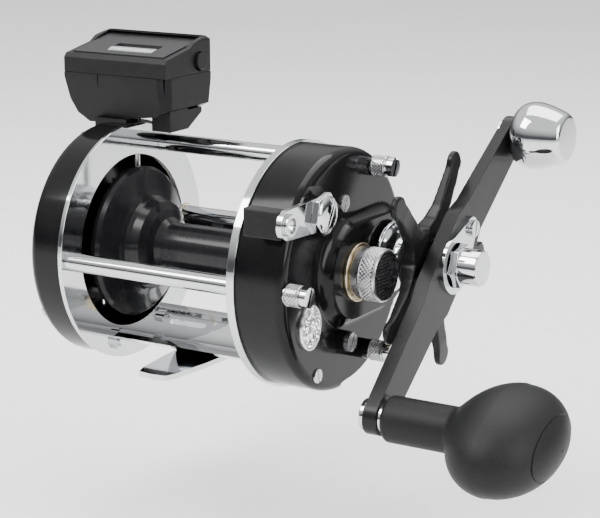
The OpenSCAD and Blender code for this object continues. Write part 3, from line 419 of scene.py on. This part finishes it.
# Thumb pad: moulded rubber with fine chequering on its rear face
lo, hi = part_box("thumb_pad")
bm = bmesh.new()
n_x, n_z = 66, 48
span_x, span_z = hi.x - lo.x, hi.z - lo.z
grid = [[None] * (n_z + 1) for _ in range(n_x + 1)]
for i in range(n_x + 1):
    for j in range(n_z + 1):
        edge = min(i, n_x - i, j, n_z - j) / 3
        round_off = 0.5 * MM * (1 - min(1, edge)) ** 2
        peak = (i % 3 == 1 and j % 3 == 1) and edge >= 1
        grid[i][j] = bm.verts.new((lo.x + span_x * i / n_x,
                                   lo.y + round_off + (0 if peak else 0.22 * MM),
                                   lo.z + span_z * j / n_z))
for i in range(n_x):
    for j in range(n_z):
        bm.faces.new((grid[i][j], grid[i + 1][j], grid[i + 1][j + 1], grid[i][j + 1]))
border = ([grid[i][0] for i in range(n_x)] + [grid[n_x][j] for j in range(n_z)]
          + [grid[i][n_z] for i in range(n_x, 0, -1)] + [grid[0][j] for j in range(n_z, 0, -1)])
back = [bm.verts.new((v.co.x, hi.y, v.co.z)) for v in border]
for i in range(len(border)):
    k = (i + 1) % len(border)
    bm.faces.new((border[k], border[i], back[i], back[k]))
bm.faces.new(back)
bmesh.ops.recalc_face_normals(bm, faces=bm.faces)
place(link_mesh("thumb_pad_chequered", bm, 25), "thumb_pad", stands_for=("thumb_pad",))

# Digits on the number wheels, built from seven straight strokes each
STROKES = {"a": (0, 1.1, 1), "b": (0.6, 0.55, 0), "c": (0.6, -0.55, 0), "d": (0, -1.1, 1),
           "e": (-0.6, -0.55, 0), "f": (-0.6, 0.55, 0), "g": (0, 0, 1)}
DIGITS = ["abcdef", "bc", "abged", "abgcd", "fgbc", "afgcd", "afgecd", "abc", "abcdefg", "abcdfg"]
for node in ("units_wheel", "tens_wheel", "hundreds_wheel"):
    lo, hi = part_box(node)
    x_mid = lo.x / MM + 2.2
    wy, wz = (lo.y + hi.y) / 2 / MM, (lo.z + hi.z) / 2 / MM
    bm = bmesh.new()
    for digit, strokes in enumerate(DIGITS):
        turn = Matrix.Rotation(math.radians(-36 * digit), 3, "X")
        for s in strokes:
            dx, dy, level = STROKES[s]
            half_x, half_y = (0.62, 0.14) if level else (0.14, 0.6)
            for v in block(bm, (dx - half_x, dy - half_y, 5.42), (dx + half_x, dy + half_y, 5.56)):
                p = turn @ v.co
                v.co = Vector((p.x + x_mid, p.y + wy, p.z + wz)) * MM
    place(link_mesh(node.replace("wheel", "digits"), bm), node, MATS["digit_ink"])


# Floor, lights and camera ----------------------------------------------------------------------

FLOOR_Z = -0.046
floor_mat = make_mat("floor_paper", (0.93, 0.93, 0.93), 0.7, vary=0.015, scale=8)
bm = bmesh.new()
bmesh.ops.create_grid(bm, x_segments=1, y_segments=1, size=4)
floor = link_mesh("floor", bm)
floor.location = (0, 0, FLOOR_Z)
floor.data.materials.append(floor_mat)

world = bpy.data.worlds.new("studio")
bpy.context.scene.world = world
world.use_nodes = True
sky = world.node_tree
height = sky.nodes.new("ShaderNodeSeparateXYZ")
shade = sky.nodes.new("ShaderNodeValToRGB")
sky.links.new(sky.nodes.new("ShaderNodeTexCoord").outputs["Generated"], height.inputs["Vector"])
sky.links.new(height.outputs["Z"], shade.inputs["Fac"])
sky.links.new(shade.outputs["Color"], sky.nodes["Background"].inputs["Color"])
shade.color_ramp.elements[0].color = (0.10, 0.10, 0.11, 1)
shade.color_ramp.elements[0].position = 0.12
shade.color_ramp.elements[1].color = (1, 1, 1, 1)
shade.color_ramp.elements[1].position = 0.55
sky.nodes["Background"].inputs["Strength"].default_value = 1.3


def soft_light(name, place_at, aim, size, watts, size_y=None):
    data = bpy.data.lights.new(name, "AREA")
    data.shape = "RECTANGLE"
    data.size = size
    data.size_y = size_y or size
    data.energy = watts
    lamp = bpy.data.objects.new(name, data)
    bpy.context.scene.collection.objects.link(lamp)
    lamp.location = place_at
    lamp.rotation_euler = (Vector(aim) - Vector(place_at)).to_track_quat("-Z", "Y").to_euler()


AIM = (0.02, 0, 0.03)
soft_light("key_softbox", (-0.25, -0.45, 0.65), AIM, 0.45, 9)
soft_light("side_softbox", (0.75, -0.15, 0.35), AIM, 0.35, 5, 0.6)
soft_light("top_softbox", (0.0, 0.25, 0.8), AIM, 0.7, 8)

camera = bpy.data.objects.new("camera", bpy.data.cameras.new("camera"))
bpy.context.scene.collection.objects.link(camera)
camera.location = (0.28151, -0.42194, 0.15086)
aim = Vector((0.02888, 0.0, 0.03076))
camera.rotation_euler = (aim - camera.location).to_track_quat("-Z", "Y").to_euler()
camera.data.lens = 111.13
camera.data.sensor_width = 36.0
camera.data.clip_start = 0.01
bpy.context.scene.camera = camera
